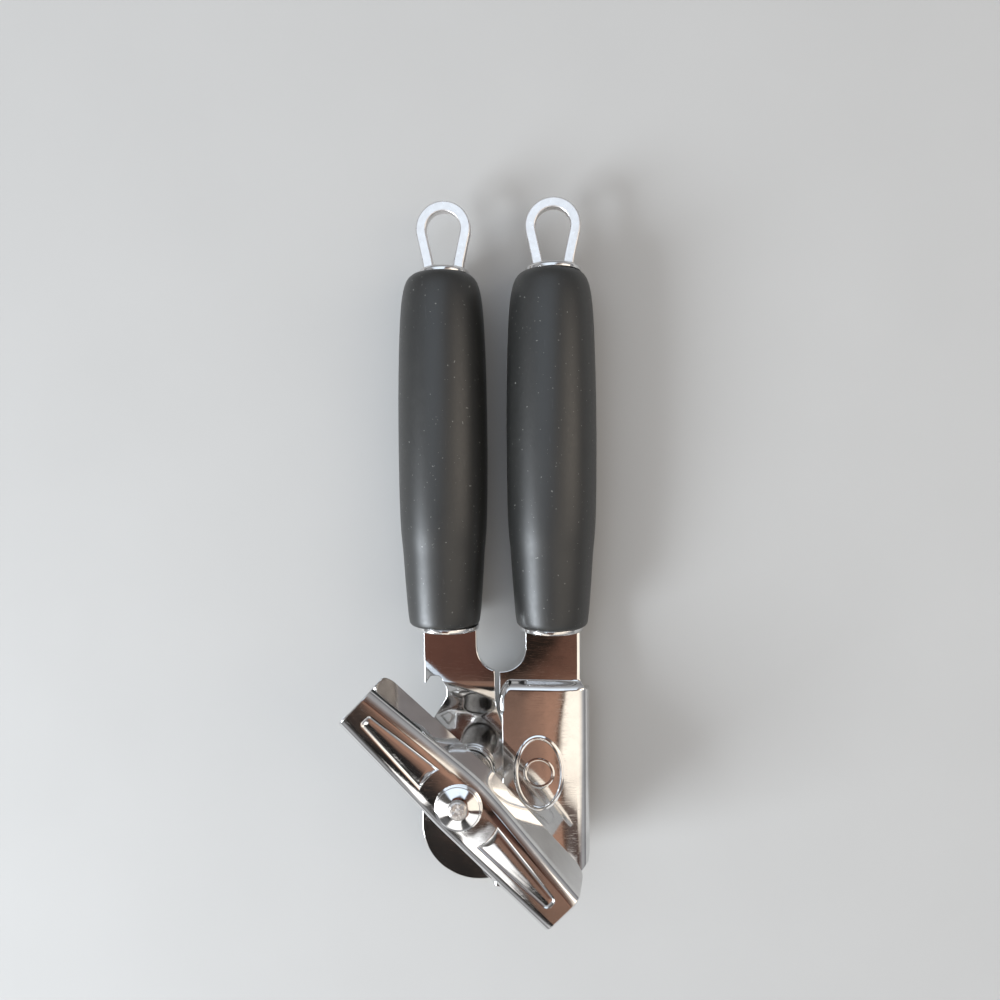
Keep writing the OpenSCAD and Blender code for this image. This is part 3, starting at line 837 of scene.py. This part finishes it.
shaft_prof = [(0, 1.7), (3.2, 1.7), (5.3, 1.7)] + round_profile([(5.3, 1.7), (5.6, 2.0), (5.6, 6.0), (5.6, 20.0), (5.6, 23.3), (5.4, 23.58)], 0.1) + [(2.2, 23.58), (2.2, 26.55)] \
    + [(2.55, 26.56), (2.74, 26.7), (2.78, 26.9), (2.7, 27.12), (2.45, 27.3), (2.1, 27.4), (1.7, 27.46), (1.3, 27.45), (1.0, 27.42), (0.7, 27.40), (0.35, 27.40), (0, 27.40)]


def head_wobble(r, h, a):
    if h > 27.0:
        q = noise.noise(Vector((r * math.cos(a) * 0.9 + 3.1, r * math.sin(a) * 0.9, 0.3)))
        q += 0.5 * noise.noise(Vector((r * math.cos(a) * 2.3, r * math.sin(a) * 2.3 + 1.7, 4.3)))
        return r, min(27.49, h + 0.16 * q * min(1.0, (2.8 - r) / 0.7))
    return r, h


lathe("key_post", shaft_prof, (SHAFT[0], SHAFT[1], 0), (0, 0, 1), M_RIVET, "drive", [], segs=96, wobble=head_wobble)
# lower part of the shaft, inside the bushing and the wheels
low = [(0, -14.25)] + round_profile([(2.2, -14.25), (2.6, -13.95), (2.6, -3.62), (3.9, -3.6), (3.99, -3.4), (3.99, 1.68), (3.9, 1.7)], 0.08) + [(0, 1.7)]
lathe("key_post_lower", low, (SHAFT[0], SHAFT[1], 0), (0, 0, 1), M_SHAFT, "drive", ["drive_shaft"], segs=96)

# bushing: raised boss pressed through the rear plate
boss = [(4.06, -3.2)] + round_profile([(5.54, -3.2), (5.54, -1.62), (7.35, -1.58), (7.7, -1.3), (7.7, -0.1), (7.3, 0.42), (6.9, 0.5), (4.3, 0.5), (4.06, 0.3)], 0.25)
lathe("boss_ring", boss, (SHAFT[0], SHAFT[1], 0), (0, 0, 1), M_BOSS, "feed_arm", ["shaft_bushing"], segs=128)

# ------------------------------------------------------------- the grips
PROFILE = [(0, 9.7), (0.25, 10.2), (0.8, 10.65), (2, 10.9), (4.7, 11.2), (8.7, 11.5), (12.7, 11.8), (16.7, 12.05), (19.7, 12.25), (22.7, 12.45),
           (25.7, 12.75), (28.7, 13.0), (31.7, 13.15), (36.7, 13.3), (43.7, 13.4), (50.7, 13.44), (56.7, 13.45), (62.7, 13.42), (70.7, 13.33), (78.7, 13.15),
           (85.7, 12.92), (90.5, 12.7), (94.5, 12.42), (97.5, 12.1), (99.8, 11.7), (101.6, 11.25), (102.9, 10.75), (103.9, 10.1), (104.6, 9.3), (104.9, 8.8), (105, 8.4)]
G_LEN = 105.0


def spline(pts, per):
    out = []
    n = len(pts)
    for i in range(n - 1):
        p0 = Vector(pts[max(0, i - 1)])
        p1 = Vector(pts[i])
        p2 = Vector(pts[i + 1])
        p3 = Vector(pts[min(n - 1, i + 2)])
        # centripetal tangents keep uneven spacing from overshooting
        d1 = max(1e-6, (p2 - p1).length)
        d0 = max(1e-6, (p1 - p0).length) if i > 0 else d1
        d2 = max(1e-6, (p3 - p2).length) if i < n - 2 else d1
        m1 = (p2 - p1) / d1 if i == 0 else ((p1 - p0) / d0 * d1 + (p2 - p1) / d1 * d0) / (d0 + d1)
        m2 = (p2 - p1) / d1 if i == n - 2 else ((p2 - p1) / d1 * d2 + (p3 - p2) / d2 * d1) / (d1 + d2)
        k = max(1, int(math.ceil(d1 / per)))
        for j in range(k):
            t = j / k
            h00 = 2 * t ** 3 - 3 * t ** 2 + 1
            h10 = t ** 3 - 2 * t ** 2 + t
            h01 = -2 * t ** 3 + 3 * t ** 2
            h11 = t ** 3 - t ** 2
            out.append(tuple(p1 * h00 + m1 * d1 * h10 + p2 * h01 + m2 * d1 * h11))
    out.append(tuple(pts[-1]))
    return out


def grip(name, x, body, nodes, seed):
    pr = [(0.0, 0.0), (5.0, 0.0)] + [(min(r, 13.45), h) for h, r in spline(PROFILE, 1.6)] + [(4.0, G_LEN), (0.0, G_LEN)]

    def w(r, h, a):
        if r < 7 or h < 1.0:
            return r, h
        q = noise.noise(Vector((math.cos(a) * 0.7 + seed, math.sin(a) * 0.7, h * 0.035)))
        return r - 0.05 - 0.05 * q, h

    return lathe(name, pr, (x, Y0, Z_AXIS), (0, 1, 0), M_GRIP, body, nodes, segs=144, wobble=w)


grip("grip_right", 15.4, "cutter_arm", ["cutter_grip"], 2.0)
grip("grip_left", -17.3, "feed_arm", ["feed_grip"], 7.0)


def ferrule(name, x, body, nodes):
    pr = [(0, 0), (9.2, 0)] + round_profile([(9.2, 0.0), (9.5, 0.2), (9.5, 1.0), (9.25, 1.42), (8.6, 1.6), (7.9, 1.58)], 0.2) + [(7.6, 1.55), (0, 1.55)]
    return lathe(name, pr, (x, Y0, Z_AXIS), (0, -1, 0), M_CAP, body, nodes, segs=128)


ferrule("ring_right", 15.3, "cutter_arm", ["cutter_ferrule"])
ferrule("ring_left", -16.3, "feed_arm", ["feed_ferrule"])


def cap(name, x, r, body, nodes):
    pr = [(0, 0), (r - 0.3, 0)] + round_profile([(r - 0.3, 0.0), (r, 0.15), (r, 0.95), (r - 0.25, 1.38), (r - 0.9, 1.82), (r - 2.0, 2.2), (r - 3.6, 2.45), (r - 5, 2.54)], 0.3) + [(1.0, 2.59), (0, 2.6)]
    return lathe(name, pr, (x, Y0 + G_LEN, Z_AXIS), (0, 1, 0), M_CAP, body, nodes, segs=128)


cap("end_cap_right", 16.1, 8.4, "cutter_arm", ["cutter_cap"])
cap("end_cap_left", -16.6, 7.6, "feed_arm", ["feed_cap"])


def loop(name, x, body, nodes):
    yc = Y0 + G_LEN + 2.6 + 0.6 + 10.6
    r, b, hh, w, d = 8.2, 6.0, 10.6, 3.0, 3.0
    # centreline radius and leg positions
    rc = r - w / 2
    bc = b - w / 2
    D = math.hypot(bc, hh)
    a0 = math.atan2(-hh, bc) + math.acos(rc / D)
    path = []
    for k in range(9):
        path.append(Vector((bc, -hh - 10.1 * (1 - k / 8))))
    t = Vector((rc * math.cos(a0), rc * math.sin(a0)))
    for k in range(1, 12):
        path.append(Vector((bc, -hh)).lerp(t, k / 12))
    n = 72
    for k in range(n + 1):
        a = a0 + (math.pi - 2 * a0) * k / n
        path.append(Vector((rc * math.cos(a), rc * math.sin(a))))
    path += [Vector((-p.x, p.y)) for p in reversed(path[:20])]
    # ease the corner where the leg meets the cap
    for _ in range(3):
        path = [path[0]] + [(path[i - 1] + path[i] * 2 + path[i + 1]) / 4 for i in range(1, len(path) - 1)] + [path[-1]]
    sec = fillet_loop([(-w / 2, -d / 2), (w / 2, -d / 2), (w / 2, d / 2), (-w / 2, d / 2)], 0.42, 4)
    verts, faces, rings = [], [], []
    for i, p in enumerate(path):
        a, c = path[max(0, i - 1)], path[min(len(path) - 1, i + 1)]
        tg = (c - a).normalized()
        nm = Vector((-tg.y, tg.x))
        ring = []
        for s, z in sec:
            q = p + nm * s
            ring.append(len(verts))
            verts.append(P(x + q.x, yc + q.y, Z_AXIS + z))
        rings.append(ring)
    m = len(sec)
    for a, c in zip(rings[:-1], rings[1:]):
        for i in range(m):
            j = (i + 1) % m
            faces.append((a[i], a[j], c[j], c[i]))
    faces.append(tuple(rings[0]))
    faces.append(tuple(reversed(rings[-1])))
    return add_mesh(name, verts, faces, M_LOOP, body, nodes)


loop("hang_loop_right", 16.1, "cutter_arm", ["cutter_loop"])
loop("hang_loop_left", -16.6, "feed_arm", ["feed_loop"])

# ---------------------------------------------------- rivet and back parts
rv = [(0, -5.7)] + round_profile([(2.9, -5.7), (4.5, -5.3), (5.5, -4.6), (5.5, -3.5), (3.05, -3.48)], 0.3) + [(3.0, -3.4), (3.0, 2.4)] \
    + round_profile([(3.0, 2.4), (6.4, 2.4), (6.6, 2.6), (6.55, 3.05), (6.0, 3.55), (4.6, 3.95), (2.6, 4.2)], 0.25) + [(0, 4.3)]
lathe("rivet_body", rv, (PIVOT[0], PIVOT[1], 0), (0, 0, 1), M_RIVET, "cutter_arm", ["pivot_rivet"], segs=96)

st = [(0, -14.25)] + round_profile([(4.2, -14.25), (4.6, -13.85), (4.6, -12.3), (4.5, -12.25)], 0.15) + [(3.0, -12.25), (3.0, -3.2)] \
    + round_profile([(3.0, -3.2), (4.8, -3.2), (5.0, -3.0), (5.0, 0.79)], 0.12) + [(0, 0.79)]
lathe("cutter_stud_body", st, (CUTTER[0], CUTTER[1], 0), (0, 0, 1), M_SHAFT, "cutter_arm", ["cutter_stud"], segs=96)

# carried-over CAD nodes: fine bevel on the cut edges, and their own finish
for node, mat in {"pivot_washer": M_GEAR, "wave_washer": M_SHAFT, "drive_gear": M_GEAR, "feed_wheel": M_GEAR, "feed_nut": M_GEAR,
                  "cutter_gear": M_GEAR, "cutter_wheel": M_CUT, "cutter_washer": M_SHAFT}.items():
    for ob in frame["nodes"][node] if isinstance(frame["nodes"][node], (list, tuple)) else [frame["nodes"][node]]:
        if not ob.data.materials:
            ob.data.materials.append(mat)
        for sl in ob.material_slots:
            sl.link = "OBJECT"
            sl.material = mat
        if node not in ("cutter_wheel",):
            bv = ob.modifiers.new("edge", "BEVEL")
            bv.width = 0.00014
            bv.segments = 2
            bv.limit_method = "ANGLE"
            bv.angle_limit = math.radians(28)
            bv.harden_normals = False
        wn = ob.modifiers.new("weighted", "WEIGHTED_NORMAL")
        wn.keep_sharp = True

# ------------------------------------------------------------------ stage
bpy.ops.mesh.primitive_plane_add(size=6, location=(0, 0, 0))
floor = bpy.context.object
floor.name = "floor"
fm, fnt, fb, fmp = new_mat("floor_pale")
fcol = mix_col(fnt, tex_noise(fnt, fmp.outputs[0], 0.02, 3.0, 0.5), (0.47, 0.464, 0.452), (0.50, 0.494, 0.482))
fnt.links.new(fcol, fb.inputs["Base Color"])
fb.inputs["Roughness"].default_value = 0.75
floor.data.materials.append(fm)


def area_light(name, loc, target, size, size_y, power, color):
    ld = bpy.data.lights.new(name, "AREA")
    ld.shape = "RECTANGLE"
    ld.size = size
    ld.size_y = size_y
    ld.energy = power
    ld.color = color
    ob = bpy.data.objects.new(name, ld)
    bpy.context.scene.collection.objects.link(ob)
    ob.location = loc
    d = Vector(target) - Vector(loc)
    ob.rotation_euler = d.to_track_quat("-Z", "Y").to_euler()
    return ob


area_light("left_window", (-1.05, -0.60, 0.66), (0, -0.03, 0), 0.56, 0.56, 23.0, (0.86, 0.93, 1.0))
area_light("right_lamp", (1.1, 0.10, 0.75), (0, 0, 0), 0.5, 0.8, 2.5, (1.0, 0.86, 0.70))

world = bpy.data.worlds.new("studio")
bpy.context.scene.world = world
world.use_nodes = True
wnt = world.node_tree
for n in list(wnt.nodes):
    wnt.nodes.remove(n)
wo = wnt.nodes.new("ShaderNodeOutputWorld")
bg = wnt.nodes.new("ShaderNodeBackground")
wtc = wnt.nodes.new("ShaderNodeTexCoord")
sep = wnt.nodes.new("ShaderNodeSeparateXYZ")
wnt.links.new(wtc.outputs["Generated"], sep.inputs[0])
# soft windows of light round a dim warm ceiling: the room as the polished faces see it
zc = op(wnt, "MAXIMUM", sep.outputs["Z"], 0.04)
sx = op(wnt, "DIVIDE", sep.outputs["X"], zc)
sy = op(wnt, "DIVIDE", sep.outputs["Y"], zc)
dx = op(wnt, "ADD", sx, 0.06)
dy = op(wnt, "ADD", sy, 0.40)
rad = op(wnt, "SQRT", op(wnt, "ADD", op(wnt, "MULTIPLY", dx, dx), op(wnt, "MULTIPLY", dy, dy)), 0.0)
ang = op(wnt, "ARCTAN2", dy, dx)
cmb = wnt.nodes.new("ShaderNodeCombineXYZ")
wnt.links.new(sx, cmb.inputs[0])
wnt.links.new(sy, cmb.inputs[1])
wob = tex_noise(wnt, cmb.outputs[0], 1.7, 2.0, 0.45)
mot = tex_noise(wnt, cmb.outputs[0], 3.4, 3.0, 0.5, 0.6)


def ramp_of(fac, stops, interp="LINEAR"):
    n = wnt.nodes.new("ShaderNodeValToRGB")
    wnt.links.new(fac, n.inputs["Fac"])
    r = n.color_ramp
    r.interpolation = interp
    r.elements[0].position, r.elements[0].color = stops[0][0], (*stops[0][1], 1)
    r.elements[1].position, r.elements[1].color = stops[-1][0], (*stops[-1][1], 1)
    for q, c in stops[1:-1]:
        e = r.elements.new(q)
        e.color = (*c, 1)
    return n.outputs["Color"]


# ceiling: dark at the lower left, a muted warm brown towards the upper right
slope = op(wnt, "ADD", op(wnt, "MULTIPLY", dx, 1.1), op(wnt, "MULTIPLY", dy, 0.9))
slope = op(wnt, "ADD", slope, op(wnt, "MULTIPLY", op(wnt, "SUBTRACT", mot, 0.5), 0.35))
ceiling = ramp_of(remap(wnt, slope, -0.42, 0.30, 0.0, 1.0), [(0.0, (0.012, 0.012, 0.012)), (0.28, (0.032, 0.028, 0.026)), (0.33, (0.09, 0.060, 0.048)), (0.385, (0.30, 0.175, 0.125)), (0.50, (0.27, 0.16, 0.12)), (0.72, (0.24, 0.15, 0.115)), (1.0, (0.24, 0.16, 0.13))])
# a brighter terracotta patch on the right, and a darker strip with a black gap where the necks look
lift = remap(wnt, op(wnt, "ADD", dx, op(wnt, "MULTIPLY", op(wnt, "SUBTRACT", mot, 0.5), 0.05)), 0.004, 0.042, 0.0, 1.0)
ceiling = mix_col(wnt, lift, ceiling, (0.47, 0.265, 0.185))
strip = ramp_of(remap(wnt, op(wnt, "SUBTRACT", dx, op(wnt, "MULTIPLY", op(wnt, "SUBTRACT", dy, 0.15), 0.6)), -0.15, 0.10, 0.0, 1.0),
                [(0.0, (0.15, 0.070, 0.052)), (0.42, (0.11, 0.050, 0.038)), (0.56, (0.020, 0.015, 0.012)), (0.73, (0.022, 0.016, 0.012)), (0.79, (0.16, 0.078, 0.055)), (1.0, (0.17, 0.085, 0.06))])
ceiling = mix_col(wnt, remap(wnt, op(wnt, "ADD", dy, op(wnt, "MULTIPLY", op(wnt, "SUBTRACT", wob, 0.5), 0.05)), 0.102, 0.128, 0.0, 1.0), ceiling, strip)
deg = remap(wnt, ang, -math.pi, math.pi, 0.0, 1.0)


def at(d):
    return (d + 180.0) / 360.0


DIM, BLUE, WARM, WHITE = (0.05, 0.045, 0.042), (1.25, 1.42, 1.62), (1.45, 1.30, 1.12), (1.4, 1.38, 1.34)
windows = ramp_of(deg, [(0.0, (1.9, 1.92, 1.95)), (at(-172), (2.1, 2.08, 2.05)), (at(-146), (2.1, 2.05, 2.0)), (at(-142), DIM), (at(-124), DIM), (at(-120), (2.0, 1.97, 1.92)), (at(-94), (2.0, 1.97, 1.92)), (at(-90), DIM),
                        (at(-72), (0.03, 0.028, 0.027)), (at(-68), WHITE), (at(-32), WHITE), (at(-28), (0.10, 0.07, 0.06)), (at(-16), (0.12, 0.08, 0.07)), (at(-12), WARM), (at(40), WARM), (at(44), (0.20, 0.12, 0.09)),
                        (at(64), (0.12, 0.08, 0.07)), (at(68), BLUE), (at(136), BLUE), (at(142), (0.10, 0.095, 0.09)), (at(166), (0.16, 0.15, 0.14)), (at(171), (1.6, 1.62, 1.65)), (1.0, (1.9, 1.92, 1.95))])
# how far the ceiling reaches in each direction
reach = ramp_of(deg, [(0.0, (0.135, 0.135, 0.135)), (at(-164), (0.145, 0.145, 0.145)), (at(-148), (0.25, 0.25, 0.25)), (at(-125), (0.33, 0.33, 0.33)), (at(-106), (0.27, 0.27, 0.27)), (at(-88), (0.30, 0.30, 0.30)), (at(-45), (0.28, 0.28, 0.28)),
                      (at(-12), (0.16, 0.16, 0.16)), (at(14), (0.16, 0.16, 0.16)), (at(50), (0.30, 0.30, 0.30)), (at(90), (0.38, 0.38, 0.38)), (at(125), (0.36, 0.36, 0.36)), (at(150), (0.24, 0.24, 0.24)), (at(165), (0.15, 0.15, 0.15)), (1.0, (0.135, 0.135, 0.135))])
far = ramp_of(op(wnt, "DIVIDE", rad, 6.0), [(0.0, (0.40, 0.41, 0.43)), (0.45, (0.42, 0.42, 0.43)), (1.0, (0.26, 0.26, 0.27))])
r_w = op(wnt, "ADD", rad, op(wnt, "MULTIPLY", op(wnt, "SUBTRACT", wob, 0.5), 0.10))
past = op(wnt, "SUBTRACT", r_w, reach)
windows = mix_col(wnt, remap(wnt, rad, 0.55, 1.5, 0.0, 0.75), windows, (0.52, 0.53, 0.55))
ceiling = mix_col(wnt, remap(wnt, past, -0.040, -0.010, 0.0, 0.8), ceiling, (0.020, 0.015, 0.013))
sky = mix_col(wnt, remap(wnt, past, 0.0, 0.03, 0.0, 1.0), ceiling, windows)
sky = mix_col(wnt, remap(wnt, rad, 1.45, 2.3, 0.0, 1.0), sky, far)
wnt.links.new(sky, bg.inputs["Color"])
bg.inputs["Strength"].default_value = 1.0
wnt.links.new(bg.outputs[0], wo.inputs[0])
bpy.context.scene.view_settings.view_transform = "Standard"

# ----------------------------------------------------------------- camera
cd = bpy.data.cameras.new("camera")
cam = bpy.data.objects.new("camera", cd)
bpy.context.scene.collection.objects.link(cam)
cd.sensor_width = 36.0
cd.sensor_fit = "HORIZONTAL"
cd.lens = 27.036
cd.clip_start = 0.005
right = Vector((0.996257, -0.006883, -0.0861607)).normalized()
fwd = Vector((-0.086366, -0.0393192, -0.9954873)).normalized()
up = right.cross(fwd).normalized()
rot = Matrix((right, up, -fwd)).transposed()
cam.matrix_world = Matrix.Translation(P(19.43875, -0.13315, 225.0)) @ rot.to_4x4()
bpy.context.scene.camera = cam
